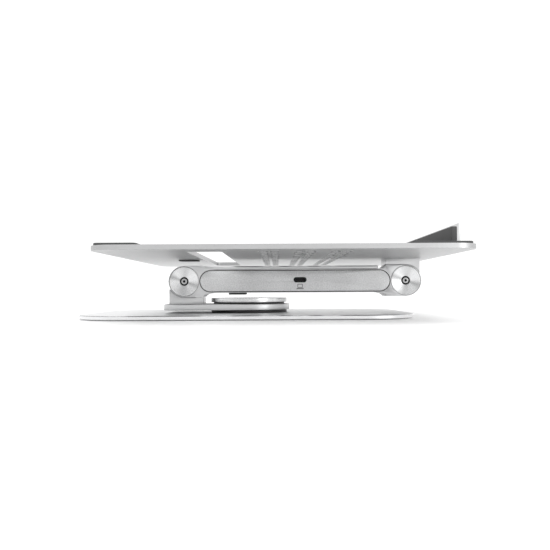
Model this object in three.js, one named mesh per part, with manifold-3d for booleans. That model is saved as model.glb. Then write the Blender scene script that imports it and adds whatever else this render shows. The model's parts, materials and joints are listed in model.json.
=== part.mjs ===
// Folding laptop stand: a swivelling foot, one hinged arm with a built-in port hub, and a hinged tray.
// Millimetres. The origin is on the swivel axis at the desk surface. +X points to the front lip,
// +Y to the far side and +Z up. The stand is modelled folded, with the arm and the tray level.
import * as THREE from 'three';
import { mergeVertices } from 'three/addons/utils/BufferGeometryUtils.js';
import Module from 'manifold-3d';

const wasm = await Module();
wasm.setup();

// ---- Driving dimensions ----
const FIT_GAP = 0.3; // between a piece and the pocket, slot or bore that holds it
const ROUND_STEPS = 28; // sides of a large round part
const SMALL_STEPS = 12; // sides of a screw, pin bore or small hole
const CORNER_STEPS = 3; // curve steps in a quarter-round corner

const MAT_THICK = 0.4;
const MAT_INSET = 4;
const BASE_LENGTH = 231;
const BASE_DEPTH = 150;
const BASE_THICK = 2.9;
const BASE_CORNER_R = 35;

const LOWER_RING_R = 28.5;
const LOWER_RING_H = 2.1;
const SWIVEL_R = 30.6; // half-width of the swivel plate and radius of its round end
const SWIVEL_REACH = 61; // from the swivel axis to the plate's square end
const SWIVEL_CORNER_R = 10;
const SWIVEL_THICK = 4.3;
const UPPER_RING_R = 26.7;
const UPPER_RING_H = 1.3;
const CAP_R = 28.7;
const CAP_H = 3;
const CAP_CHAMFER = 0.9;
const CAP_ROOF = 0.7;
const SPINDLE_R = 6;
const FLANGE_R = 14;
const FLANGE_H = 1.2;
const NUT_R = 9;
const NUT_H = 1.2;
const SPRING_R = 10;
const SPRING_H = 0.8;

const LOWER_HINGE_X = -48.1;
const HINGE_SPACING = 165.4;
const KNUCKLE_R = 11.7;
const KNUCKLE_HALF = 4; // half the width of a bracket's central knuckle
const WASHER_H = 1;
const WASHER_RIM = 1.2; // the washer's edge lies this far inside the knuckle's
const PIN_R = 4;
const BUSH_WALL = 1;
const HINGE_CAP_RIM = 0.8; // width of the knuckle's ring round the cap
const HINGE_CAP_H = 2;
const HINGE_CAP_HOLE_R = 3.3;
const HINGE_CAP_WEB = 0.7;
const SURFACE_INSET = 0.1; // how far a cap or panel face lies below the arm's side
const CAP_SCREW_R = 1.5;
const CAP_SCREW_REACH = 5.3;

// A block's outer side, inner side and mounting face, measured from its knuckle's surface.
const LOWER_BLOCK = { outer: -0.7, inner: 2.5, drop: 5.1 };
const UPPER_BLOCK = { outer: -1.2, inner: 3.1, drop: 4.6 };
const BLOCK_HORN = 6; // the block's horn stops this far short of the hinge axis height
const MOUNT_SCREW = { headR: 3.4, headH: 2, shaftR: 2, engage: 6.5, offset: 5.5 };

const ARM_WIDTH = 20;
const BAR_HALF = 8.65; // half the bar's height
// Lengths along the arm, each measured inward from the surface of the nearer knuckle.
const NECK_LEVEL = 2.7; // end of the neck's level part
const NECK_HOLLOW = 4.3; // corner that the hollow curve is drawn round
const NECK_END = 12.8; // where the hollow curve meets the bar
const CHANNEL_START = 3.4; // top cover's channel, at the lower end
const CHANNEL_STOP = 8.6; // and at the upper end
const CAVITY_START = 8.4;
const COVER_SETBACK = 1;
const COVER_H = 2.65;
const PANEL_GAP = 0.6; // shadow line round each side panel
const PANEL_RIM = 0.4; // bar's wall above and below the panel's seat
const PANEL_THICK = 1.2;
const PANEL_TO_CAP = 1.1; // between a panel's end and the hinge cap
const PANEL_LEDGE = 1.3; // seat for the panel round the cavity
const SHOULDER = 8; // length of the ledges that carry the board
const BUMPER = { start: 32.8, length: 13.5, width: 10, height: 1.45 };

const BOARD_THICK = 1.6;
const BOARD_FACE_Y = -2.4; // near face of the board
const BOARD_MARGIN = 0.8; // above and below the board in the cavity
const BOARD_SCREW = { headR: 2, headH: 1.1, shaftR: 1.1, reach: 5 };
const HOST_PORT_OFFSET = 3.9; // measured from mid-arm towards the front
const HOST_PORT_RISE = 0.8;
const USB_C = { width: 9.2, height: 3.4, wall: 0.4, tongueW: 6.6, tongueH: 0.7 };
const USB_A = { width: 13.9, height: 6.6, wall: 0.7, tongueW: 11, tongueH: 1.9 };
const HDMI = { width: 15.2, height: 6.2, wall: 0.7, tongueW: 11.4, tongueH: 0.9 };
const SOCKET_BACK = 1; // solid back of each socket
const FAR_PORT_PITCH = 23;

const TRAY_LENGTH = 225.3;
const TRAY_WIDTH = 250;
const TRAY_THICK = 3;
const TRAY_FRONT = 20.4; // tray's front edge past the upper hinge axis
const TRAY_CORNER_R = 14;
const WINDOW = { fromRear: 54.1, width: 21.5, sideMargin: 23, cornerR: 3 };
const VENT = { width: 5.6, length: 14, rowPitch: 22, columnPitch: 7.2, groupPitch: 22.2, margin: 24.9 };
const VENT_SIDE_MARGIN = 15;
const PAD_THICK = 1.5;
const PAD_SIDE_MARGIN = 5;
const PAD_CORNER_R = 3;
const FRONT_PAD = { fromFront: 3, width: 36.1 };
const REAR_PAD = { fromRear: 2.7, width: 25.1 };
const LIP = { fromFront: 3.3, thick: 2.3, height: 14.5, foot: 3.6, footH: 2.5, sideMargin: 31.5 };
const LINER_H = 10;
const LIP_SCREW = { headR: 1.3, headH: 0.9, shaftR: 0.8, sunk: 1.1, reach: 2.4 };
const TRAY_BUMPER = { fromRear: 34.6, length: 15, width: 14, height: 0.8 };

// ---- Places worked out from the dimensions ----
const baseBottom = MAT_THICK;
const baseTop = baseBottom + BASE_THICK;
const swivelBottom = baseTop + LOWER_RING_H;
const swivelTop = swivelBottom + SWIVEL_THICK;
const capBottom = swivelTop + UPPER_RING_H;
const capTop = capBottom + CAP_H;
const hingeZ = swivelTop + KNUCKLE_R + LOWER_BLOCK.drop;
const upperHingeX = LOWER_HINGE_X + HINGE_SPACING;
const trayBottom = hingeZ + KNUCKLE_R + UPPER_BLOCK.drop;
const trayTop = trayBottom + TRAY_THICK;
const padTop = trayTop + PAD_THICK;
const trayFront = upperHingeX + TRAY_FRONT;
const trayRear = trayFront - TRAY_LENGTH;
const armHalf = ARM_WIDTH / 2;
const slotHalf = KNUCKLE_HALF + WASHER_H;
const panelOuterY = armHalf - SURFACE_INSET;
const panelInnerY = panelOuterY - PANEL_THICK;
const capOuterY = armHalf - SURFACE_INSET;
const capInnerY = capOuterY - HINGE_CAP_H;
const boreR = PIN_R + FIT_GAP;
const recessDepth = MOUNT_SCREW.headH + FIT_GAP;
const hingeCapR = KNUCKLE_R - HINGE_CAP_RIM;
const panelHalf = BAR_HALF - PANEL_RIM - PANEL_GAP;
const cavityHalf = panelHalf - PANEL_LEDGE;
const boardHalf = cavityHalf - BOARD_MARGIN;
const HINGE_XS = { lower: LOWER_HINGE_X, upper: upperHingeX };

// ---- Solids from three.js geometry ----
function toSolid(geometry) {
  const bare = geometry.clone();
  bare.deleteAttribute('normal');
  bare.deleteAttribute('uv');
  const merged = mergeVertices(bare, 1e-4);
  const vertProperties = new Float32Array(merged.attributes.position.array);
  const triVerts = new Uint32Array(merged.index.array);
  return new wasm.Manifold(new wasm.Mesh({ numProp: 3, vertProperties, triVerts }));
}

function toGeometry(solid) {
  const mesh = solid.getMesh();
  const geometry = new THREE.BufferGeometry();
  const flat = mesh.vertProperties.slice(0, mesh.numVert * mesh.numProp);
  geometry.setAttribute('position', new THREE.BufferAttribute(new Float32Array(flat), 3));
  geometry.setIndex(new THREE.BufferAttribute(new Uint32Array(mesh.triVerts), 1));
  geometry.computeVertexNormals();
  return geometry;
}

function join(...solids) {
  return solids.reduce((sum, next) => sum.add(next));
}

function cut(body, ...tools) {
  return tools.reduce((left, tool) => left.subtract(tool), body);
}

function block(x0, x1, y0, y1, z0, z1) {
  const box = new THREE.BoxGeometry(x1 - x0, y1 - y0, z1 - z0);
  return toSolid(box.translate((x0 + x1) / 2, (y0 + y1) / 2, (z0 + z1) / 2));
}

function discZ(radius, z0, z1, x = 0, y = 0, steps = SMALL_STEPS) {
  const cylinder = new THREE.CylinderGeometry(radius, radius, z1 - z0, steps).rotateX(Math.PI / 2);
  return toSolid(cylinder.translate(x, y, (z0 + z1) / 2));
}

function discY(radius, y0, y1, x, z, steps = SMALL_STEPS) {
  const cylinder = new THREE.CylinderGeometry(radius, radius, y1 - y0, steps);
  return toSolid(cylinder.translate(x, (y0 + y1) / 2, z));
}

function extrudeUp(shape, z0, z1, steps = CORNER_STEPS) {
  const options = { depth: z1 - z0, bevelEnabled: false, curveSegments: steps };
  return toSolid(new THREE.ExtrudeGeometry(shape, options).translate(0, 0, z0));
}

// A side outline drawn in X and Z, extruded from y0 to y1.
function extrudeAcross(shape, y0, y1, steps = CORNER_STEPS) {
  const options = { depth: y1 - y0, bevelEnabled: false, curveSegments: steps };
  const geometry = new THREE.ExtrudeGeometry(shape, options).rotateX(Math.PI / 2);
  return toSolid(geometry.translate(0, y1, 0));
}

function roundedRect(x0, x1, y0, y1, r) {
  const shape = new THREE.Shape();
  shape.moveTo(x0 + r, y0);
  shape.lineTo(x1 - r, y0);
  shape.absarc(x1 - r, y0 + r, r, -Math.PI / 2, 0);
  shape.lineTo(x1, y1 - r);
  shape.absarc(x1 - r, y1 - r, r, 0, Math.PI / 2);
  shape.lineTo(x0 + r, y1);
  shape.absarc(x0 + r, y1 - r, r, Math.PI / 2, Math.PI);
  shape.lineTo(x0, y0 + r);
  shape.absarc(x0 + r, y0 + r, r, Math.PI, 1.5 * Math.PI);
  return shape;
}

// A slot outline with round ends; the ends are on its longer direction.
function stadium(cx, cy, length, height) {
  const r = Math.min(length, height) / 2 - 1e-3;
  return roundedRect(cx - length / 2, cx + length / 2, cy - height / 2, cy + height / 2, r);
}

// A vent outline along Y, with each round end drawn as a half turn of straight steps.
function ventOutline(cx, cy, width, length) {
  const r = width / 2;
  const endSteps = 4;
  const points = [];
  for (const end of [1, -1]) {
    for (let step = 0; step <= endSteps; step += 1) {
      const turn = (step / endSteps) * Math.PI;
      const y = cy + end * (length / 2 - r + r * Math.sin(turn));
      points.push(new THREE.Vector2(cx + end * r * Math.cos(turn), y));
    }
  }
  return new THREE.Path(points);
}

// A solid of revolution about Z from closed points of [radius, height].
function turned(points, steps = ROUND_STEPS) {
  const profile = points.map(([r, z]) => new THREE.Vector2(r, z));
  return toSolid(new THREE.LatheGeometry(profile, steps).rotateX(Math.PI / 2));
}

// ---- The assembly ----
const stand = new THREE.Group();

const FINISHES = {
  anodised: { color: 0xbfc1c3, roughness: 0.42, metalness: 0.9 },
  blasted: { color: 0xb4b6b8, roughness: 0.55, metalness: 0.85 },
  bright: { color: 0xe2e3e4, roughness: 0.2, metalness: 1 },
  steel: { color: 0x9fa2a5, roughness: 0.3, metalness: 1 },
  rubber: { color: 0x4a4b4d, roughness: 0.9, metalness: 0 },
  polymer: { color: 0x141516, roughness: 0.6, metalness: 0 },
  bronze: { color: 0xa9804a, roughness: 0.4, metalness: 0.9 },
  laminate: { color: 0x1f5a3c, roughness: 0.6, metalness: 0 },
};

function place(name, solid, finish) {
  const mesh = new THREE.Mesh(toGeometry(solid), new THREE.MeshStandardMaterial(FINISHES[finish]));
  mesh.name = name;
  stand.add(mesh);
}

// A screw that stands on its head at the origin, with its shaft along +Z and a socket underneath.
function screw({ headR, headH, shaftR }, reach) {
  const head = discZ(headR, 0, headH);
  const shaft = discZ(shaftR, headH - 0.2, headH + reach);
  const socket = toSolid(new THREE.CylinderGeometry(headR * 0.5, headR * 0.5, headH, 6).rotateX(Math.PI / 2));
  return cut(join(head, shaft), socket);
}

function buildBase() {
  const halfX = BASE_LENGTH / 2;
  const halfY = BASE_DEPTH / 2;
  const outline = roundedRect(-halfX, halfX, -halfY, halfY, BASE_CORNER_R);
  const matX = halfX - MAT_INSET;
  const matY = halfY - MAT_INSET;
  const matOutline = roundedRect(-matX, matX, -matY, matY, BASE_CORNER_R - MAT_INSET);
  const flangeTop = baseBottom + FIT_GAP + FLANGE_H;
  const flangePocket = discZ(FLANGE_R + FIT_GAP, baseBottom - 1, flangeTop, 0, 0, ROUND_STEPS);
  const spindleHole = discZ(SPINDLE_R + FIT_GAP, 0, baseTop + 1, 0, 0, ROUND_STEPS);
  place('base_mat', extrudeUp(matOutline, 0, MAT_THICK), 'rubber');
  place('base_plate', cut(extrudeUp(outline, baseBottom, baseTop, 5), flangePocket, spindleHole), 'anodised');
}

function buildSwivel() {
  const boreCut = discZ(SPINDLE_R + FIT_GAP, 0, capBottom + 1, 0, 0, ROUND_STEPS);
  const lowerRing = discZ(LOWER_RING_R, baseTop, swivelBottom, 0, 0, ROUND_STEPS);
  const upperRing = discZ(UPPER_RING_R, swivelTop, capBottom, 0, 0, ROUND_STEPS);

  const outline = new THREE.Shape();
  const r = SWIVEL_CORNER_R;
  outline.moveTo(-SWIVEL_REACH + r, -SWIVEL_R);
  outline.lineTo(0, -SWIVEL_R);
  outline.absarc(0, 0, SWIVEL_R, -Math.PI / 2, Math.PI / 2);
  outline.lineTo(-SWIVEL_REACH + r, SWIVEL_R);
  outline.absarc(-SWIVEL_REACH + r, SWIVEL_R - r, r, Math.PI / 2, Math.PI);
  outline.lineTo(-SWIVEL_REACH, -SWIVEL_R + r);
  outline.absarc(-SWIVEL_REACH + r, -SWIVEL_R + r, r, Math.PI, 1.5 * Math.PI);
  let plate = cut(extrudeUp(outline, swivelBottom, swivelTop, 8), boreCut);
  for (const side of [-1, 1]) {
    const x = LOWER_HINGE_X + side * MOUNT_SCREW.offset;
    const headPocket = discZ(MOUNT_SCREW.headR + FIT_GAP, swivelBottom - 1, swivelBottom + recessDepth, x);
    const shaftHole = discZ(MOUNT_SCREW.shaftR + FIT_GAP, swivelBottom, swivelTop + 1, x);
    plate = cut(plate, headPocket, shaftHole);
  }

  const springBottom = capBottom;
  const nutBottom = springBottom + SPRING_H;
  const nutTop = nutBottom + NUT_H;
  const hollowR = SPRING_R + 2;
  const cap = turned([
    [0, capTop - CAP_ROOF],
    [hollowR, capTop - CAP_ROOF],
    [hollowR, capBottom],
    [CAP_R, capBottom],
    [CAP_R, capTop - CAP_CHAMFER],
    [CAP_R - CAP_CHAMFER, capTop],
    [0, capTop],
  ]);
  const flange = discZ(FLANGE_R, baseBottom + FIT_GAP, baseBottom + FIT_GAP + FLANGE_H, 0, 0, ROUND_STEPS);
  const stem = discZ(SPINDLE_R, baseBottom + FIT_GAP, nutTop, 0, 0, ROUND_STEPS);
  const stemClear = discZ(SPINDLE_R + FIT_GAP, springBottom - 1, nutTop + 1, 0, 0, ROUND_STEPS);
  const nut = cut(discZ(NUT_R, nutBottom, nutTop, 0, 0, 6), stemClear);
  const spring = cut(discZ(SPRING_R, springBottom, nutBottom, 0, 0, ROUND_STEPS), stemClear);

  place('lower_glide_ring', cut(lowerRing, boreCut), 'polymer');
  place('swivel_plate', plate, 'anodised');
  place('upper_glide_ring', cut(upperRing, boreCut), 'polymer');
  place('swivel_cap', cap, 'bright');
  place('swivel_spindle', join(flange, stem), 'steel');
  place('spring_washer', spring, 'steel');
  place('spindle_nut', nut, 'steel');
}

// A hinge bracket about its own axis at the origin, with its mounting face below.
function bracketSolid(size) {
  const outer = KNUCKLE_R + size.outer;
  const inner = KNUCKLE_R + size.inner;
  const drop = KNUCKLE_R + size.drop;
  const seatR = KNUCKLE_R + FIT_GAP;
  const clearY = armHalf + 1;
  const innerTop = -seatR;
  const outerPart = block(-outer, 0, -armHalf, armHalf, -drop, -BLOCK_HORN);
  const innerPart = block(-1, inner, -armHalf, armHalf, -drop, innerTop);
  const nearSeat = discY(seatR, -clearY, -KNUCKLE_HALF, 0, 0, ROUND_STEPS);
  const farSeat = discY(seatR, KNUCKLE_HALF, clearY, 0, 0, ROUND_STEPS);
  const knuckle = discY(KNUCKLE_R, -KNUCKLE_HALF, KNUCKLE_HALF, 0, 0, ROUND_STEPS);
  const neck = block(-outer, PIN_R, -KNUCKLE_HALF, KNUCKLE_HALF, -drop, -BLOCK_HORN);
  const bushBore = discY(boreR + BUSH_WALL + FIT_GAP, -clearY, clearY, 0, 0, ROUND_STEPS);
  let bracket = join(cut(join(outerPart, innerPart), nearSeat, farSeat), knuckle, neck);
  bracket = cut(bracket, bushBore);
  for (const side of [-1, 1]) {
    const holeTop = -drop + MOUNT_SCREW.engage + FIT_GAP;
    const hole = discZ(MOUNT_SCREW.shaftR + FIT_GAP, -drop - 1, holeTop, side * MOUNT_SCREW.offset);
    bracket = cut(bracket, hole);
  }
  return bracket;
}

// Moves a piece from its hinge axis to the lower hinge, or turned upside down to the upper hinge.
function atHinge(solid, end) {
  const geometry = toGeometry(solid);
  if (end === 'upper') geometry.scale(-1, 1, -1);
  return toSolid(geometry.translate(HINGE_XS[end], 0, hingeZ));
}

function buildHinge(end, bracketSize, plateWeb) {
  const sides = { near: -1, far: 1 };
  const pinHalf = capInnerY - FIT_GAP;
  const threadR = CAP_SCREW_R + FIT_GAP;
  const screwSeatY = capInnerY + HINGE_CAP_WEB;
  const screwTipY = screwSeatY - CAP_SCREW_REACH;
  let pin = discY(PIN_R, -pinHalf, pinHalf, 0, 0, 24);
  for (const side of Object.values(sides)) {
    const [low, high] = [side * (screwTipY - FIT_GAP), side * (pinHalf + 1)].sort((a, b) => a - b);
    pin = cut(pin, discY(threadR, low, high, 0, 0));
  }
  const bushTube = discY(boreR + BUSH_WALL, -KNUCKLE_HALF, KNUCKLE_HALF, 0, 0, 24);
  const bush = cut(bushTube, discY(boreR, -KNUCKLE_HALF - 1, KNUCKLE_HALF + 1, 0, 0, 24));
  place(`${end}_bracket`, atHinge(bracketSolid(bracketSize), end), 'anodised');
  place(`${end}_hinge_pin`, atHinge(pin, end), 'steel');
  place(`${end}_hinge_bush`, atHinge(bush, end), 'bronze');

  for (const [name, side] of Object.entries(sides)) {
    // Each piece is drawn on the far side, then mirrored in Y for the near side.
    const toSide = (y0, y1) => (side > 0 ? [y0, y1] : [-y1, -y0]);
    const ring = (r, y0, y1, steps) => discY(r, ...toSide(y0, y1), 0, 0, steps);
    const washer = cut(
      ring(KNUCKLE_R - WASHER_RIM, KNUCKLE_HALF, slotHalf, ROUND_STEPS),
      ring(boreR, KNUCKLE_HALF - 1, slotHalf + 1, 24),
    );
    const capPlate = ring(hingeCapR, capInnerY, capOuterY, ROUND_STEPS);
    const headHole = ring(HINGE_CAP_HOLE_R, screwSeatY, capOuterY + 1, 24);
    const shaftHole = ring(threadR, capInnerY - 1, screwSeatY + 1, SMALL_STEPS);
    const head = ring(HINGE_CAP_HOLE_R - 0.4, screwSeatY, capOuterY - 0.2, 24);
    const shaft = ring(CAP_SCREW_R, screwTipY, screwSeatY + 0.2, SMALL_STEPS);
    const socket = ring(1.5, screwSeatY + 0.3, capOuterY + 1, 6);
    place(`${end}_friction_washer_${name}`, atHinge(washer, end), 'polymer');
    place(`${end}_hinge_cap_${name}`, atHinge(cut(capPlate, headHole, shaftHole), end), 'bright');
    place(`${end}_cap_screw_${name}`, atHinge(cut(join(head, shaft), socket), end), 'steel');
  }

  [-1, 1].forEach((side, index) => {
    const bolt = screw(MOUNT_SCREW, plateWeb + MOUNT_SCREW.engage);
    const headZ = -KNUCKLE_R - bracketSize.drop - plateWeb - MOUNT_SCREW.headH;
    const moved = toSolid(toGeometry(bolt).translate(side * MOUNT_SCREW.offset, 0, headZ));
    place(`${end}_bracket_screw_${index + 1}`, atHinge(moved, end), 'steel');
  });
}

// The arm's side outline: a round knuckle at each end, level necks and a slimmer bar between them.
function armOutline() {
  const shape = new THREE.Shape();
  const x0 = LOWER_HINGE_X;
  const x1 = upperHingeX;
  const level = KNUCKLE_R + NECK_LEVEL;
  const hollow = KNUCKLE_R + NECK_HOLLOW;
  const slim = KNUCKLE_R + NECK_END;
  const low = (half) => hingeZ - half;
  const high = (half) => hingeZ + half;
  shape.moveTo(x0, low(KNUCKLE_R));
  shape.lineTo(x0 + level, low(KNUCKLE_R));
  shape.quadraticCurveTo(x0 + hollow, low(BAR_HALF), x0 + slim, low(BAR_HALF));
  shape.lineTo(x1 - slim, low(BAR_HALF));
  shape.quadraticCurveTo(x1 - hollow, low(BAR_HALF), x1 - level, low(KNUCKLE_R));
  shape.lineTo(x1, low(KNUCKLE_R));
  shape.absarc(x1, hingeZ, KNUCKLE_R, -Math.PI / 2, Math.PI / 2);
  shape.lineTo(x1 - level, high(KNUCKLE_R));
  shape.quadraticCurveTo(x1 - hollow, high(BAR_HALF), x1 - slim, high(BAR_HALF));
  shape.lineTo(x0 + slim, high(BAR_HALF));
  shape.quadraticCurveTo(x0 + hollow, high(BAR_HALF), x0 + level, high(KNUCKLE_R));
  shape.lineTo(x0, high(KNUCKLE_R));
  shape.absarc(x0, hingeZ, KNUCKLE_R, Math.PI / 2, 1.5 * Math.PI);
  return shape;
}

// A socket shell with its mouth at mouthY and its solid back on the board.
function socketSolid(size, x, z, mouthY, backY) {
  const facing = Math.sign(mouthY - backY);
  const innerY = backY + facing * SOCKET_BACK;
  const ordered = (a, b) => [Math.min(a, b), Math.max(a, b)];
  const shell = extrudeAcross(stadium(x, z, size.width, size.height), ...ordered(backY, mouthY));
  const pocketShape = stadium(x, z, size.width - 2 * size.wall, size.height - 2 * size.wall);
  const pocket = extrudeAcross(pocketShape, ...ordered(innerY, mouthY + facing));
  const halfW = size.tongueW / 2;
  const halfH = size.tongueH / 2;
  const [y0, y1] = ordered(backY + facing * 0.5, mouthY - facing * 1.5);
  return join(cut(shell, pocket), block(x - halfW, x + halfW, y0, y1, z - halfH, z + halfH));
}

function buildArm() {
  const middleX = (LOWER_HINGE_X + upperHingeX) / 2;
  const panelX0 = LOWER_HINGE_X + hingeCapR + PANEL_TO_CAP;
  const panelX1 = upperHingeX - hingeCapR - PANEL_TO_CAP;
  const panelLength = panelX1 - panelX0;
  const panelShape = stadium(middleX, hingeZ, panelLength, 2 * panelHalf);
  const seatHalf = panelHalf + PANEL_GAP;
  const seatShape = stadium(middleX, hingeZ, panelLength + 2 * PANEL_GAP, 2 * seatHalf);
  const barTop = hingeZ + BAR_HALF;
  const barBottom = hingeZ - BAR_HALF;
  const cavityX0 = LOWER_HINGE_X + KNUCKLE_R + CAVITY_START;
  const cavityX1 = upperHingeX - KNUCKLE_R - CAVITY_START;
  const boardBackY = BOARD_FACE_Y + BOARD_THICK;
  const beyond = armHalf + 1;

  let body = extrudeAcross(armOutline(), -armHalf, armHalf, 6);
  body = cut(
    body,
    extrudeAcross(seatShape, panelInnerY, beyond, 5),
    extrudeAcross(seatShape, -beyond, -panelInnerY, 5),
    block(cavityX0, cavityX1, -beyond, boardBackY, hingeZ - cavityHalf, hingeZ + cavityHalf),
    block(cavityX0 + SHOULDER, cavityX1 - SHOULDER, boardBackY - 1, beyond,
      hingeZ - cavityHalf, hingeZ + cavityHalf),
  );
  const channelX0 = LOWER_HINGE_X + KNUCKLE_R + CHANNEL_START;
  const channelX1 = upperHingeX - KNUCKLE_R - CHANNEL_STOP;
  const coverHalf = armHalf - COVER_SETBACK;
  const channelHalf = coverHalf + FIT_GAP;
  body = cut(body, block(channelX0 - FIT_GAP, channelX1 + FIT_GAP, -channelHalf, channelHalf,
    barTop, barTop + KNUCKLE_R));
  for (const [end, inward] of [['lower', 1], ['upper', -1]]) {
    const x = HINGE_XS[end];
    const slotEnds = [x - inward * (KNUCKLE_R + 1), x + inward * (KNUCKLE_R + 2 * FIT_GAP)];
    const [slotX0, slotX1] = slotEnds.sort((a, b) => a - b);
    const above = KNUCKLE_R + 1;
    body = cut(
      body,
      block(slotX0, slotX1, -slotHalf, slotHalf, hingeZ - above, hingeZ + above),
      discY(boreR, -beyond, beyond, x, hingeZ, 24),
      discY(hingeCapR + FIT_GAP, capInnerY, beyond, x, hingeZ, ROUND_STEPS),
      discY(hingeCapR + FIT_GAP, -beyond, -capInnerY, x, hingeZ, ROUND_STEPS),
    );
  }

  const screwXs = [cavityX0 + SHOULDER / 2, cavityX1 - SHOULDER / 2];
  const boardX0 = cavityX0 + FIT_GAP;
  const boardX1 = cavityX1 - FIT_GAP;
  let board = block(boardX0, boardX1, BOARD_FACE_Y, boardBackY, hingeZ - boardHalf, hingeZ + boardHalf);
  screwXs.forEach((x, index) => {
    const holeR = BOARD_SCREW.shaftR + FIT_GAP;
    board = cut(board, discY(holeR, BOARD_FACE_Y - 1, boardBackY + 1, x, hingeZ));
    const tipY = boardBackY + BOARD_SCREW.reach;
    body = cut(body, discY(holeR, boardBackY - 1, tipY + FIT_GAP, x, hingeZ));
    const headY = BOARD_FACE_Y - BOARD_SCREW.headH;
    const head = discY(BOARD_SCREW.headR, headY, BOARD_FACE_Y, x, hingeZ);
    const shaft = discY(BOARD_SCREW.shaftR, BOARD_FACE_Y - 0.2, tipY, x, hingeZ);
    const drive = discY(BOARD_SCREW.headR / 2, headY - 1, headY + 0.6, x, hingeZ, 6);
    place(`board_screw_${index + 1}`, cut(join(head, shaft), drive), 'steel');
  });

  const mouthY = panelOuterY - FIT_GAP;
  const hostX = middleX + HOST_PORT_OFFSET;
  const hostZ = hingeZ + HOST_PORT_RISE;
  const farPorts = [
    ['usb_a_socket_1', USB_A],
    ['usb_a_socket_2', USB_A],
    ['hdmi_socket', HDMI],
    ['usb_c_power_socket', USB_C],
  ];
  const portHole = (size, x, z, y0, y1) => {
    const shape = stadium(x, z, size.width + 2 * FIT_GAP, size.height + 2 * FIT_GAP);
    return extrudeAcross(shape, y0, y1);
  };
  let nearPanel = extrudeAcross(panelShape, -panelOuterY, -panelInnerY, 5);
  let farPanel = extrudeAcross(panelShape, panelInnerY, panelOuterY, 5);
  nearPanel = cut(nearPanel, portHole(USB_C, hostX, hostZ, -beyond, -panelInnerY + 1));
  farPorts.forEach(([name, size], index) => {
    const x = middleX + (index - (farPorts.length - 1) / 2) * FAR_PORT_PITCH;
    farPanel = cut(farPanel, portHole(size, x, hingeZ, panelInnerY - 1, beyond));
    place(name, socketSolid(size, x, hingeZ, mouthY, boardBackY), 'steel');
  });
  place('usb_c_host_socket', socketSolid(USB_C, hostX, hostZ, -mouthY, BOARD_FACE_Y), 'steel');

  const cover = block(channelX0, channelX1, -coverHalf, coverHalf, barTop, barTop + COVER_H);
  const bumperX = LOWER_HINGE_X + BUMPER.start;
  const bumperHalf = BUMPER.width / 2;
  const bumperShape = roundedRect(bumperX, bumperX + BUMPER.length, -bumperHalf, bumperHalf, 2);
  place('arm_body', body, 'anodised');
  place('hub_board', board, 'laminate');
  place('side_panel_near', nearPanel, 'blasted');
  place('side_panel_far', farPanel, 'blasted');
  place('arm_top_cover', cover, 'anodised');
  place('arm_bumper', extrudeUp(bumperShape, barBottom - BUMPER.height, barBottom, 2), 'rubber');
}

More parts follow.
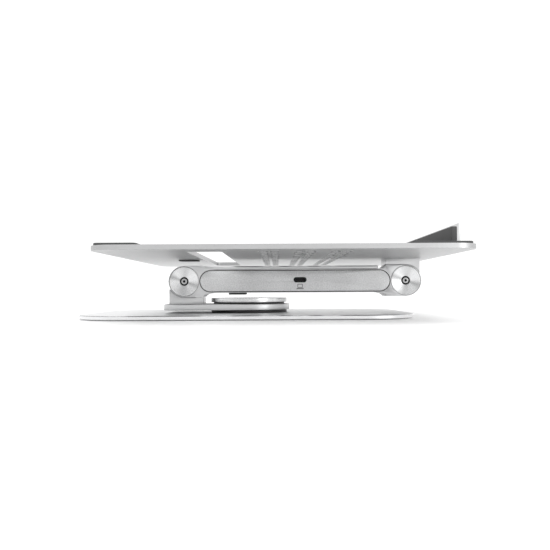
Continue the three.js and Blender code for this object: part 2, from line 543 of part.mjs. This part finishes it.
function buildTray() {
  const halfY = TRAY_WIDTH / 2;
  const windowX0 = trayRear + WINDOW.fromRear;
  const windowX1 = windowX0 + WINDOW.width;
  const windowHalf = halfY - WINDOW.sideMargin;
  const frontPadX1 = trayFront - FRONT_PAD.fromFront;
  const frontPadX0 = frontPadX1 - FRONT_PAD.width;
  const lipX1 = trayFront - LIP.fromFront;
  const wallX0 = lipX1 - LIP.thick;
  const footX0 = wallX0 - LIP.foot;
  const lipHalf = halfY - LIP.sideMargin;
  const footTop = trayTop + LIP.footH;

  const outline = roundedRect(trayRear, trayFront, -halfY, halfY, TRAY_CORNER_R);
  outline.holes.push(roundedRect(windowX0, windowX1, -windowHalf, windowHalf, WINDOW.cornerR));
  const ventRoom = frontPadX0 - windowX1 - 2 * VENT.margin;
  const groups = Math.max(1, 1 + Math.floor((ventRoom - VENT.columnPitch) / VENT.groupPitch));
  const rowsPerSide = Math.floor((halfY - VENT_SIDE_MARGIN) / VENT.rowPitch);
  for (let group = 0; group < groups; group += 1) {
    for (let column = 0; column < 2; column += 1) {
      const x = windowX1 + VENT.margin + group * VENT.groupPitch + column * VENT.columnPitch;
      for (let row = -rowsPerSide; row < rowsPerSide; row += 1) {
        outline.holes.push(ventOutline(x, (row + 0.5) * VENT.rowPitch, VENT.width, VENT.length));
      }
    }
  }
  let plate = extrudeUp(outline, trayBottom, trayTop);
  for (const side of [-1, 1]) {
    const x = upperHingeX + side * MOUNT_SCREW.offset;
    const headPocket = discZ(MOUNT_SCREW.headR + FIT_GAP, trayTop - recessDepth, trayTop + 1, x);
    const shaftHole = discZ(MOUNT_SCREW.shaftR + FIT_GAP, trayBottom - 1, trayTop, x);
    plate = cut(plate, headPocket, shaftHole);
  }

  const wall = new THREE.Shape();
  const tipR = LIP.thick / 2;
  wall.moveTo(footX0, trayTop);
  wall.lineTo(lipX1, trayTop);
  wall.lineTo(lipX1, trayTop + LIP.height - tipR);
  wall.absarc(lipX1 - tipR, trayTop + LIP.height - tipR, tipR, 0, Math.PI);
  wall.lineTo(wallX0, footTop);
  wall.lineTo(footX0, footTop);
  let lip = extrudeAcross(wall, -lipHalf, lipHalf, 3);
  const screwX = (footX0 + wallX0) / 2;
  const seatZ = footTop - LIP_SCREW.sunk;
  [-0.8, -0.27, 0.27, 0.8].forEach((share, index) => {
    const y = share * lipHalf;
    const tipZ = trayTop - LIP_SCREW.reach + FIT_GAP;
    const holeR = LIP_SCREW.shaftR + FIT_GAP;
    lip = cut(lip, discZ(LIP_SCREW.headR + FIT_GAP, seatZ, footTop + 1, screwX, y, 12));
    lip = cut(lip, discZ(holeR, trayTop - 1, seatZ + 1, screwX, y, 12));
    plate = cut(plate, discZ(holeR, tipZ - FIT_GAP, trayTop + 1, screwX, y, 12));
    const head = discZ(LIP_SCREW.headR, seatZ, seatZ + LIP_SCREW.headH, screwX, y, 12);
    const shaft = discZ(LIP_SCREW.shaftR, tipZ, seatZ + 0.2, screwX, y, 12);
    const drive = discZ(LIP_SCREW.headR / 2, seatZ + 0.4, footTop, screwX, y, 6);
    place(`lip_screw_${index + 1}`, cut(join(head, shaft), drive), 'steel');
  });

  const padHalf = halfY - PAD_SIDE_MARGIN;
  const notchX0 = footX0 - FIT_GAP;
  const notchHalf = lipHalf + FIT_GAP;
  const frontShape = roundedRect(frontPadX0, frontPadX1, -padHalf, padHalf, PAD_CORNER_R);
  const notch = block(notchX0, frontPadX1 + 1, -notchHalf, notchHalf, trayTop - 1, padTop + 1);
  const rearPadX0 = trayRear + REAR_PAD.fromRear;
  const rearShape = roundedRect(rearPadX0, rearPadX0 + REAR_PAD.width, -padHalf, padHalf, PAD_CORNER_R);
  const bumperX = trayRear + TRAY_BUMPER.fromRear;
  const bumperHalf = TRAY_BUMPER.width / 2;
  const bumperShape = roundedRect(bumperX, bumperX + TRAY_BUMPER.length, -bumperHalf, bumperHalf, 2);

  place('tray_plate', plate, 'anodised');
  place('front_pad', cut(extrudeUp(frontShape, trayTop, padTop), notch), 'rubber');
  place('rear_pad', extrudeUp(rearShape, trayTop, padTop), 'rubber');
  place('lip', lip, 'anodised');
  place('lip_liner', block(footX0, wallX0, -lipHalf, lipHalf, footTop, footTop + LINER_H), 'rubber');
  place('tray_bumper', extrudeUp(bumperShape, trayBottom - TRAY_BUMPER.height, trayBottom, 2), 'rubber');
}

buildBase();
buildSwivel();
buildHinge('lower', LOWER_BLOCK, SWIVEL_THICK - recessDepth);
buildArm();
buildHinge('upper', UPPER_BLOCK, TRAY_THICK - recessDepth);
buildTray();

export default stand;
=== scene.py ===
# %% [markdown]
# # A folding laptop stand, finished in Blender
# The stand arrives as a frame of plain, exact parts that already fit and move. This lesson gives each of
# them its real surface: softened edges, bead-blasted aluminium, spun caps, matt silicone. The frame is
# never moved, so every place below is read from it. Work is in metres: +X to the lip, +Y to the far side
# and +Z up.

# %% Load the frame
import json
import math
import bpy
from mathutils import Euler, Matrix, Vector


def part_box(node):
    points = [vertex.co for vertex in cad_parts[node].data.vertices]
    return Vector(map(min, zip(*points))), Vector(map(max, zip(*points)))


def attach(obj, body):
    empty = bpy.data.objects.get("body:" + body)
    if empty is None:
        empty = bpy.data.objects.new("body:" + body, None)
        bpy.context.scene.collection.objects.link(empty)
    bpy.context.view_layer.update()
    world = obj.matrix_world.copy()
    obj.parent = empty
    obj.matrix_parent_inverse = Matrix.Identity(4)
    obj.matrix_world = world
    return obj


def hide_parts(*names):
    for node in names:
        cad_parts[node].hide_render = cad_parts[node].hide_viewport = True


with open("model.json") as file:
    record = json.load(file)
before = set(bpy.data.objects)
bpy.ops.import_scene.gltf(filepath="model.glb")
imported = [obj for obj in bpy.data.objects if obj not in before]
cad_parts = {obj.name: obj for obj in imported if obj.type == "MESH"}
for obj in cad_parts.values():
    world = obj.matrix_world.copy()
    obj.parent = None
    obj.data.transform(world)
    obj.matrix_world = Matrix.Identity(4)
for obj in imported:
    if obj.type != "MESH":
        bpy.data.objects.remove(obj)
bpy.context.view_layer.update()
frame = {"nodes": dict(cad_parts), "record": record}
nodes = frame["nodes"]
MM = 0.001

# %% [markdown]
# ## Places worked out from the frame
# The two hinge axes run along Y through the middle of the hinge pins, and the swivel axis is Z through the
# origin. Patterns that follow a round part, such as turning marks, are centred on these axes.

# %% Hinge centres
def middle(node):
    low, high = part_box(node)
    return Vector([(a + b) / 2 for a, b in zip(low, high)])


hinge = {end: middle(f"{end}_hinge_pin") for end in ("lower", "upper")}
print("hinge axes at", {end: tuple(round(c, 4) for c in place) for end, place in hinge.items()})

# %% [markdown]
# ## Writing shader maths as sums
# A surface pattern is arithmetic on positions. Adding a Math node by hand for each plus sign hides the
# idea, so this small class wraps a socket: `1 - mask * 0.3` then adds the nodes by itself. Colours are
# mixed with Mix nodes instead, because a Math node would turn them grey.

# %% A socket that can be used in sums
class Value:
    def __init__(self, finish, socket):
        self.finish = finish
        self.socket = socket

    def math(self, operation, *others):
        inputs = dict(enumerate((self, *others)))
        return self.finish.node("ShaderNodeMath", {"operation": operation}, inputs)

    def __add__(self, other):
        return self.math("ADD", other)

    def __mul__(self, other):
        return self.math("MULTIPLY", other)

    def __sub__(self, other):
        return self.math("SUBTRACT", other)

    def __rsub__(self, other):
        return (self * -1).math("ADD", other)

    def __pow__(self, other):
        return self.math("POWER", other)

    __radd__ = __add__
    __rmul__ = __mul__


class Finish:
    """A material on the Principled shader, built from node() calls and sums."""

    def __init__(self, name, metallic=0.0, roughness=0.5, **constants):
        self.material = bpy.data.materials.new(name)
        self.material.use_nodes = True
        self.tree = self.material.node_tree
        self.shader = self.tree.nodes["Principled BSDF"]
        self.set(Metallic=metallic, Roughness=roughness)
        self.set(**constants)
        self.place = self.node("ShaderNodeTexCoord", output="Object")

    def node(self, kind, settings=None, inputs=None, output=0):
        made = self.tree.nodes.new(kind)
        for key, value in (settings or {}).items():
            setattr(made, key, value)
        for key, value in (inputs or {}).items():
            if isinstance(value, Value):
                self.tree.links.new(value.socket, made.inputs[key])
            else:
                made.inputs[key].default_value = value
        return Value(self, made.outputs[output])

    def set(self, **sockets):
        for key, value in sockets.items():
            target = self.shader.inputs[key.replace("_", " ")]
            if isinstance(value, Value):
                self.tree.links.new(value.socket, target)
            else:
                target.default_value = value

    def noise(self, scale, detail=3.0, stretch=(1, 1, 1)):
        mapped = self.node("ShaderNodeMapping", inputs={"Vector": self.place, "Scale": stretch})
        return self.node("ShaderNodeTexNoise", inputs={"Vector": mapped, "Scale": scale, "Detail": detail})

    def axis(self, letter, centre=(0, 0, 0)):
        moved = self.node("ShaderNodeVectorMath", {"operation": "SUBTRACT"}, {0: self.place, 1: centre})
        return self.node("ShaderNodeSeparateXYZ", inputs={"Vector": moved}, output=letter)

    def blend(self, factor, dark, light):
        mix = self.tree.nodes.new("ShaderNodeMix")
        mix.data_type = "RGBA"
        self.tree.links.new(factor.socket, mix.inputs["Factor"])
        colours = {"A": dark, "B": light}
        for socket in [s for s in mix.inputs if s.type == "RGBA"]:
            colour = colours[socket.name]
            if isinstance(colour, Value):
                self.tree.links.new(colour.socket, socket)
            else:
                socket.default_value = (*colour, 1)
        return Value(self, [s for s in mix.outputs if s.type == "RGBA"][0])

    def bump(self, height, depth, strength=1.0):
        settings = {"Height": height, "Distance": depth, "Strength": strength}
        self.set(Normal=self.node("ShaderNodeBump", inputs=settings))


print("shader helpers ready")

# %% [markdown]
# ## Bead-blasted, anodised aluminium
# Blasting leaves a fine, even frosting that scatters light, and anodising seals it a little unevenly.
# Noises do this: two fine ones, mixed by `grit`, for the grain of the blasting, a broad one for the
# mottling that the bath leaves, and a stretched one for faint smears. The grain drives both the bump and
# the roughness, so light catches it. The side panels are the coarsest. The base and the tray are copies
# of the same aluminium: the base's is set paler, a painted highlight, and the tray's darker, painted
# shade for its underside.

# %% Aluminium finishes
def grey(level):
    return (level, level * 1.004, level * 1.01)


def blasted(name, level, roughness, grain_depth, contrast=0.12, grit=0.5):
    finish = Finish(name, metallic=0.92)
    grain = finish.noise(3200, 4) * (1 - grit) + finish.noise(1100, 3) * grit
    mottle = finish.noise(38, 5)
    smear = finish.noise(90, 3, (1, 0.15, 1))
    tone = mottle * 0.4 + grain * 0.6
    finish.set(Base_Color=finish.blend(tone, grey(level * (1 - contrast)), grey(level * (1 + contrast))))
    finish.set(Roughness=grain * 0.16 + mottle * 0.08 + smear * 0.06 + (roughness - 0.15))
    finish.bump(grain, grain_depth, 0.5)
    return finish.material


anodised = blasted("anodised_silver", 0.59, 0.36, 0.00003)
# The tray's copy is set darker: painted shade for its underside.
tray_metal_painted_shade = blasted("anodised_tray_painted_shade", 0.46, 0.38, 0.00003, contrast=0.2)
panel_metal = blasted("sandblasted_grey", 0.68, 0.50, 0.00011, contrast=0.65, grit=0.75)
# The base's copy is set paler: a painted highlight for the light its top reflects.
base_metal_painted_highlight = blasted("anodised_base_painted_highlight", 0.78, 0.34, 0.00003, contrast=0.15)
print("aluminium finishes:", [m.name for m in (anodised, tray_metal_painted_shade, panel_metal, base_metal_painted_highlight)])

# %% [markdown]
# ## Diamond-cut chamfers
# After anodising, the rim of a plate is cut once more with a diamond tool, which leaves a narrow
# mirror-like facet. The bevel below gives its new faces this metal, so the line shows at every angle. A
# fine speckle stands for the blasting's grain, which the cut leaves along the facet's edges.

# %% Cut edge
cut_finish = Finish("diamond_cut_edge", metallic=1.0)
speckle = cut_finish.noise(1500, 3)
cut_finish.set(Base_Color=cut_finish.blend(speckle, grey(0.14), grey(0.68)))
cut_finish.set(Roughness=speckle * 0.1 + 0.12)
cut_edge = cut_finish.material
print("cut edge ready")

# %% [markdown]
# ## Spun caps
# The round caps are faced on a lathe, which leaves fine rings. Under soft light such a face shows pale and
# dark wedges that run out from the centre; here they are painted into the colour, a painted reflection.
# The rings come from a sine of the distance to the axis. The painted wedges come from the direction
# around it: a narrow pair and a broad pair, each turned to its own angle.

# %% Turned metal
# Turns of the painted reflection's wedges.
NARROW_WEDGE = math.radians(40)
BROAD_WEDGE = math.radians(165)


def spun_and_painted_reflection(name, centre, across, pitch=0.00045, level=0.62):
    finish = Finish(name, metallic=1.0)
    u = finish.axis(across[0], centre)
    v = finish.axis(across[1], centre)
    radius = (u * u + v * v).math("SQRT")
    rings = (radius * (2 * math.pi / pitch)).math("SINE") * 0.5 + 0.5
    turn = v.math("ARCTAN2", u)
    narrow = ((turn * 2 + NARROW_WEDGE).math("COSINE") * 0.5 + 0.5) ** 16
    broad = ((turn * 2 - BROAD_WEDGE).math("COSINE") * 0.5 + 0.5) ** 4
    streaks = finish.noise(420, 3)
    # Painted reflection: the narrow and broad wedges darken the colour where the spun face's sheen would;
    # the rings and streaks are its own turning marks.
    tone = 0.85 - narrow * 0.6 - broad * 0.3 + rings * 0.08 + (streaks - 0.5) * 0.3
    finish.set(Base_Color=finish.blend(tone, grey(level * 0.45), grey(min(1, level * 1.25))))
    finish.set(Roughness=rings * 0.08 + streaks * 0.06 + 0.2)
    finish.bump(rings, 0.00002, 0.45)
    return finish.material


spun_swivel_painted_reflection = spun_and_painted_reflection("spun_swivel_cap_painted_reflection", (0, 0, 0), "XY", pitch=0.0007)
spun_hinge_painted_reflection = {end: spun_and_painted_reflection(f"spun_{end}_caps_painted_reflection", tuple(place), "XZ") for end, place in hinge.items()}
print("turned finishes:", spun_swivel_painted_reflection.name, [m.name for m in spun_hinge_painted_reflection.values()])

# %% [markdown]
# ## Rubber, polymer, steel and the rest
# Silicone pads are matt and pick up a little dust, so a broad noise lightens them and a fine one roughens
# them. The glide rings are smooth black polymer. Screws are plated steel with faint wear, and the sockets a
# near-black, faintly metallic finish.

# %% Other finishes
SPREAD = 0.15


def plain(name, dark, light, roughness, metallic=0.0, grain=1500, depth=0.00004):
    finish = Finish(name, metallic=metallic)
    fine = finish.noise(grain, 4)
    broad = finish.noise(60, 4)
    finish.set(Base_Color=finish.blend(broad * 0.65 + fine * 0.35, dark, light))
    finish.set(Roughness=fine * SPREAD + broad * (SPREAD / 2) + (roughness - SPREAD * 0.7))
    finish.bump(fine, depth, 0.4)
    return finish.material


silicone = plain("silicone_grey", grey(0.055), grey(0.105), 0.78)
mat_rubber = plain("mat_rubber", grey(0.03), grey(0.06), 0.85, grain=900)
polymer = plain("black_polymer", grey(0.006), grey(0.014), 0.5, depth=0.00001)
steel = plain("plated_steel", grey(0.38), grey(0.60), 0.3, metallic=1.0, grain=2400, depth=0.00001)
bronze = plain("sintered_bronze", (0.30, 0.17, 0.06), (0.48, 0.30, 0.13), 0.4, metallic=1.0)
laminate = plain("solder_mask", (0.01, 0.09, 0.045), (0.02, 0.15, 0.08), 0.4, depth=0.00001)
ink = plain("icon_ink", grey(0.05), grey(0.09), 0.5)
# Painted shade: a near-black finish laid on pocket walls, cap holes and screw sockets, where shade falls.
shadow = plain("painted_recess_shade", grey(0.004), grey(0.01), 0.8)
socket_black = plain("socket_black", grey(0.008), grey(0.02), 0.45, metallic=0.3, depth=0.00001)
print("other finishes ready")

# %% [markdown]
# ## Softened edges on machined parts
# No machined part has a perfectly sharp edge. Each visible part is copied from the frame, its loose
# triangles are merged and flat areas joined into single faces, and a bevel rounds every edge sharper than
# 30 degrees. The bevel is applied, so the finished mesh is what is kept. The copy then stands in for the
# plain part.

# %% Refine a part
SHARP_EDGE = math.radians(30)
SMOOTH_BELOW = math.radians(28)


def only(obj):
    bpy.ops.object.select_all(action="DESELECT")
    obj.select_set(True)
    bpy.context.view_layer.objects.active = obj


def body_holding(node):
    return next(body for body, held in frame["record"]["behaviour"]["bodies"].items() if node in held)


def stand_in(obj, node):
    """The finished piece takes the node's place and moves with its body."""
    slot = next(p["material_slot"] for p in frame["record"]["subparts"] if p["node"] == node)
    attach(obj, body_holding(node))
    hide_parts(node)


PANEL_HALF_HEIGHT = 8.2 * MM
CAP_POCKET_RADIUS = 11.5 * MM
POCKET_DEPTH = 2.2 * MM
POCKET_FLOOR = 1.7 * MM
POCKET_MARGIN = 0.5 * MM


def darken_pockets(obj, with_floors):
    """Painted shade in the side pockets: a black finish on their walls and floors, shown as fine dark lines
    round the panels and caps.
    """
    obj.data.materials.append(shadow)
    depth = max(abs(vertex.co.y) for vertex in obj.data.vertices) - POCKET_DEPTH
    for face in obj.data.polygons:
        place = face.center
        beside_panel = abs(place.z - hinge["lower"].z) < PANEL_HALF_HEIGHT
        in_cap_pocket = any((place - axis).xz.length < CAP_POCKET_RADIUS for axis in hinge.values())
        outer = abs(place.y) > depth - POCKET_MARGIN
        wall = abs(face.normal.y) < 0.3
        pocket_floor = with_floors and abs(place.y) < depth + POCKET_FLOOR
        if outer and (wall or pocket_floor) and (beside_panel or in_cap_pocket):
            face.material_index = len(obj.data.materials) - 1


def refine(node, material, width, segments=3, edge=None):
    obj = bpy.data.objects.new(f"{node}_finished", nodes[node].data.copy())
    bpy.context.scene.collection.objects.link(obj)
    only(obj)
    obj.data.materials.clear()
    obj.data.materials.append(material)
    if edge:
        obj.data.materials.append(edge)
    bpy.ops.object.mode_set(mode="EDIT")
    bpy.ops.mesh.select_all(action="SELECT")
    bpy.ops.mesh.remove_doubles(threshold=1e-6)
    bpy.ops.mesh.dissolve_limited(angle_limit=math.radians(1))
    bpy.ops.object.mode_set(mode="OBJECT")
    for face in obj.data.polygons:
        face.material_index = 0
    if node == "arm_body" or node.startswith("side_panel"):
        darken_pockets(obj, with_floors=node == "arm_body")
    bevel = obj.modifiers.new("soft_edges", "BEVEL")
    bevel.width = width
    bevel.segments = segments
    bevel.limit_method = "ANGLE"
    bevel.angle_limit = SHARP_EDGE
    bevel.material = 1 if edge else -1
    bpy.ops.object.modifier_apply(modifier=bevel.name)
    bpy.ops.object.shade_smooth_by_angle(angle=SMOOTH_BELOW)
    stand_in(obj, node)
    return obj


print("refine() ready")

# %% [markdown]
# ## Plates, brackets, arm and tray
# The base and tray are the widest surfaces. Their rims get the diamond-cut chamfer, cut as one flat facet.
# The brackets and arm are softened a little more, as parts that are tumbled before blasting.

# %% Metal parts
metal_parts = [
    ("base_plate", base_metal_painted_highlight, 0.5, 1, cut_edge),
    ("swivel_plate", anodised, 0.5, 2, cut_edge),
    ("tray_plate", tray_metal_painted_shade, 0.35, 1, cut_edge),
    ("arm_body", anodised, 0.14, 2, None),
    ("arm_top_cover", anodised, 0.7, 3, None),
    ("lower_bracket", anodised, 0.25, 2, None),
    ("upper_bracket", anodised, 0.25, 2, None),
    ("side_panel_near", panel_metal, 0.12, 2, None),
    ("side_panel_far", panel_metal, 0.12, 2, None),
    ("lip", anodised, 0.2, 2, None),
]
for node, material, width, segments, edge in metal_parts:
    made = refine(node, material, width * MM, segments, edge)
    print(made.name, len(made.data.polygons), "faces")

# %% Rubber parts
rubber_parts = [
    ("base_mat", mat_rubber, 0.2),
    ("front_pad", silicone, 0.5),
    ("rear_pad", silicone, 0.5),
    ("lip_liner", silicone, 0.6),
    ("arm_bumper", silicone, 0.5),
    ("tray_bumper", silicone, 0.5),
]
for node, material, width in rubber_parts:
    made = refine(node, material, width * MM)
    print(made.name, len(made.data.polygons), "faces")

# %% [markdown]
# ## Round parts, turned afresh
# The frame's round parts have only enough sides to fit and move. A turned part is smooth, so these are
# modelled again with 96 sides: a cylinder at the part's own size, its face stepped with inset and extrude,
# as a lathe would face and bore it. `pick_end` picks the face at one end by its normal and its position.

# %% Lathe helpers
SIDES = 96


ALONG_Y = (math.pi / 2, 0, 0)


def cylinder(node, radius, axis="Z"):
    low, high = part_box(node)
    length = high[2] - low[2] if axis == "Z" else high[1] - low[1]
    bpy.ops.object.select_all(action="DESELECT")
    bpy.ops.mesh.primitive_cylinder_add(
        vertices=SIDES, radius=radius, depth=length,
        location=middle(node), rotation=(0, 0, 0) if axis == "Z" else ALONG_Y)
    obj = bpy.context.object
    obj.name = f"{node}_finished"
    bpy.ops.object.transform_apply(location=True, rotation=True, scale=True)
    return obj


def pick_end(obj, direction):
    """Selects the end face that points along direction, in edit mode, and nothing else."""
    bpy.ops.object.mode_set(mode="EDIT")
    bpy.ops.mesh.select_mode(type="FACE")
    bpy.ops.mesh.select_all(action="DESELECT")
    bpy.ops.object.mode_set(mode="OBJECT")
    reach = max(face.center.dot(direction) for face in obj.data.polygons)
    for face in obj.data.polygons:
        ends = face.normal.dot(direction) > 0.99 and face.center.dot(direction) > reach - 1e-6
        face.select = ends and len(face.vertices) > 4
    bpy.ops.object.mode_set(mode="EDIT")


def step(inset, push, direction):
    """Insets the picked face and moves the new face along direction, as one lathe pass."""
    bpy.ops.mesh.inset(thickness=inset, depth=0)
    if push:
        bpy.ops.mesh.extrude_region_move(TRANSFORM_OT_translate={"value": direction * push})


def finish_turned(obj, material, width, node):
    bpy.ops.object.mode_set(mode="OBJECT")
    only(obj)
    obj.data.materials.append(material)
    bevel = obj.modifiers.new("broken_edges", "BEVEL")
    bevel.width = width
    bevel.segments = 3
    bevel.limit_method = "ANGLE"
    bevel.angle_limit = SHARP_EDGE
    bpy.ops.object.modifier_apply(modifier=bevel.name)
    bpy.ops.object.shade_smooth_by_angle(angle=SMOOTH_BELOW)
    stand_in(obj, node)
    print(obj.name, len(obj.data.polygons), "faces")


# %% [markdown]
# ## The swivel's rings and cap
# Two black rings carry the swivel plate, and a bright cap covers the nut. The cap's top is stepped down
# very slightly inside a narrow rim, which catches the light as a ring.

# %% Swivel stack
UP = Vector((0, 0, 1))
for node in ("lower_glide_ring", "upper_glide_ring"):
    low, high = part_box(node)
    ring = cylinder(node, high[0])
    pick_end(ring, UP)
    step(1.2 * MM, 0, UP)
    finish_turned(ring, polymer, 0.25 * MM, node)

low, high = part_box("swivel_cap")
cap = cylinder("swivel_cap", high[0])
pick_end(cap, UP)
step(2.2 * MM, -0.25 * MM, UP)
finish_turned(cap, spun_swivel_painted_reflection, 0.7 * MM, "swivel_cap")

# %% [markdown]
# ## Hinge caps and their screws
# Each hinge is closed by a spun disc with a stepped hole, in which a socket-head screw sits. The disc's
# face is inset twice: a raised rim, a shallow field and then the hole. The screw's head is turned a little
# narrower than the hole, and the hole is painted black as painted shade, so a dark ring shows round it. Its
# hexagonal socket is cut with a six-sided bar and a Boolean, and its sunk faces are painted shade too.

# %% Hinge caps
CAP_RIM = 0.9 * MM
CAP_HOLE_RADIUS = 3.3 * MM


def make_cap(end, side, outward):
    node = f"{end}_hinge_cap_{side}"
    low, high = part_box(node)
    radius = (high[2] - low[2]) / 2
    disc = cylinder(node, radius, axis="Y")
    pick_end(disc, outward)
    step(CAP_RIM, -0.15 * MM, outward)
    step(radius - CAP_RIM - CAP_HOLE_RADIUS, -1.05 * MM, outward)
    finish_turned(disc, spun_hinge_painted_reflection[end], 0.12 * MM, node)
    # Painted shade: the hole's floor and walls take the black finish, as the dark ring round the screw.
    disc.data.materials.append(shadow)
    for face in disc.data.polygons:
        if (face.center - hinge[end]).xz.length < CAP_HOLE_RADIUS - 0.05 * MM:
            face.material_index = 1


# %% Cap screws
HEAD_HEIGHT = 1.1 * MM
HEX_RADIUS = 1.1 * MM
HEX_BAR_LENGTH = 1.4 * MM
HEAD_CLEARANCE = 0.8 * MM


def make_cap_screw(end, side, sign):
    node = f"{end}_cap_screw_{side}"
    low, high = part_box(node)
    centre = middle(node)
    face_y = high[1] if sign > 0 else low[1]
    bpy.ops.object.select_all(action="DESELECT")
    bpy.ops.mesh.primitive_cylinder_add(
        vertices=48, radius=(high[2] - low[2]) / 2 - HEAD_CLEARANCE, depth=HEAD_HEIGHT,
        location=(centre.x, face_y - sign * HEAD_HEIGHT / 2, centre.z), rotation=ALONG_Y)
    head = bpy.context.object
    head.name = f"{node}_finished"
    bpy.ops.object.transform_apply(location=True, rotation=True, scale=True)
    bpy.ops.mesh.primitive_cylinder_add(
        vertices=6, radius=HEX_RADIUS, depth=HEX_BAR_LENGTH,
        location=(centre.x, face_y, centre.z), rotation=ALONG_Y)
    key = bpy.context.object
    only(head)
    drive = head.modifiers.new("drive", "BOOLEAN")
    drive.object = key
    bpy.ops.object.modifier_apply(modifier=drive.name)
    bpy.data.objects.remove(key)
    finish_turned(head, steel, 0.08 * MM, node)
    # Painted shade: the sunk faces of the hex socket take the black finish.
    head.data.materials.append(shadow)
    for face in head.data.polygons:
        sunk = abs(face.center.y) < abs(face_y) - 0.2 * MM
        if sunk and (face.center - hinge[end]).xz.length < HEX_RADIUS + 0.1 * MM:
            face.material_index = 1


# %% All four caps and screws
for end in hinge:
    for side, sign in (("near", -1), ("far", 1)):
        make_cap(end, side, Vector((0, sign, 0)))
        make_cap_screw(end, side, sign)

# %% [markdown]
# ## Laptop icon under the host socket
# A small printed outline of a laptop marks the socket that goes to the computer. It is two thin raised
# shapes, which both start as planes and are thickened: a screen frame, inset and opened, and a bar for the
# keyboard, with rounded corners.

# %% Icon
host_low, host_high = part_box("usb_c_host_socket")
panel_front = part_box("side_panel_near")[0][1]
icon_x = (host_low[0] + host_high[0]) / 2
icon_z = middle("side_panel_near").z - 4.2 * MM
icon_y = panel_front - 0.01 * MM


def bar(name, x0, x1, z0, z1):
    centre = ((x0 + x1) / 2, icon_y, (z0 + z1) / 2)
    bpy.ops.object.select_all(action="DESELECT")
    bpy.ops.mesh.primitive_plane_add(size=1, location=centre, rotation=(math.pi / 2, 0, 0))
    obj = bpy.context.object
    obj.name = name
    obj.scale = (x1 - x0, z1 - z0, 1)
    bpy.ops.object.transform_apply(location=True, rotation=True, scale=True)
    bpy.ops.object.mode_set(mode="EDIT")
    bpy.ops.mesh.select_all(action="SELECT")
    return obj


half_screen, half_keyboard = 1.9 * MM, 2.65 * MM
screen = bar("icon_screen", icon_x - half_screen, icon_x + half_screen, icon_z - 1.0 * MM, icon_z + 1.9 * MM)
bpy.ops.mesh.inset(thickness=0.4 * MM, depth=0)
bpy.ops.mesh.delete(type="FACE")
bpy.ops.object.mode_set(mode="OBJECT")
keyboard = bar("icon_keyboard", icon_x - half_keyboard, icon_x + half_keyboard,
               icon_z - 1.9 * MM, icon_z - 1.35 * MM)
bpy.ops.mesh.bevel(offset=0.2 * MM, segments=3, affect="VERTICES")
bpy.ops.object.mode_set(mode="OBJECT")
for obj in (screen, keyboard):
    only(obj)
    wall = obj.modifiers.new("thickness", "SOLIDIFY")
    wall.thickness = 0.02 * MM
    bpy.ops.object.modifier_apply(modifier=wall.name)
    obj.data.materials.append(ink)
    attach(obj, "arm")
print("icon at", round(icon_x, 4), round(icon_z, 4))

# %% [markdown]
# ## Parts that keep their shape
# Small inner parts are seen only through gaps or with the tray tilted, so they keep the frame's own shape
# and only take a proper finish.

# %% Finishes for the remaining parts
finish_by_slot = {
    "steel": steel,
    "black_polymer": polymer,
    "bronze": bronze,
    "board_laminate": laminate,
}
kept = 0
for part in frame["record"]["subparts"]:
    obj = nodes[part["node"]]
    if part["material_slot"] in finish_by_slot and not obj.hide_render:
        surface = socket_black if "socket" in part["node"] else finish_by_slot[part["material_slot"]]
        obj.data.materials.clear()
        obj.data.materials.append(surface)
        kept += 1
print(kept, "inner parts finished")

# %% [markdown]
# ## Floor, light and camera
# A pale floor and a near-white world give the plain studio look. The floor glows faintly, so that shadows
# stay soft. A broad soft light above and one at the right front shape the metal. The camera stands low,
# just above the desk, and looks slightly up, so the tray's underside shows.

# %% Stage
bpy.ops.object.select_all(action="DESELECT")
bpy.ops.mesh.primitive_plane_add(size=8, location=(0, 0, 0))
floor = bpy.context.object
floor.name = "floor"
floor_finish = Finish("pale_floor", roughness=0.6)
floor_finish.set(Base_Color=(0.96, 0.96, 0.96, 1))
floor_finish.set(Emission_Color=(1, 1, 1, 1), Emission_Strength=0.14)
floor.data.materials.append(floor_finish.material)

world = bpy.data.worlds.new("studio")
bpy.context.scene.world = world
world.use_nodes = True
background = world.node_tree.nodes["Background"]
background.inputs["Color"].default_value = (1, 1, 1, 1)
background.inputs["Strength"].default_value = 1.12


def soft_light(name, place, target, size, power):
    light = bpy.data.lights.new(name, "AREA")
    light.shape = "RECTANGLE"
    light.size, light.size_y = size
    light.energy = power
    obj = bpy.data.objects.new(name, light)
    obj.location = place
    obj.rotation_euler = (Vector(target) - Vector(place)).to_track_quat("-Z", "Y").to_euler()
    bpy.context.scene.collection.objects.link(obj)


soft_light("overhead", (0, 0, 1.2), (0, 0, 0), (1.4, 1.4), 2.5)
soft_light("right_front", (0.9, -0.9, 0.3), (0.1, 0, 0.03), (0.6, 0.5), 3)

bpy.context.scene.view_settings.view_transform = "Standard"
camera_data = bpy.data.cameras.new("camera")
camera_data.lens = 41.4
camera_data.sensor_width = 36
camera_data.clip_start = 0.01
camera = bpy.data.objects.new("camera", camera_data)
camera.location = (0.0213, -0.4821, 0.019)
pitch, yaw, roll = (math.radians(a) for a in (1.45, 0.18, 0.3))
aim = Euler((math.pi / 2 + pitch, 0, yaw)).to_matrix() @ Euler((0, 0, -roll)).to_matrix()
camera.rotation_euler = aim.to_euler()
bpy.context.scene.collection.objects.link(camera)
bpy.context.scene.camera = camera
print("stage ready")
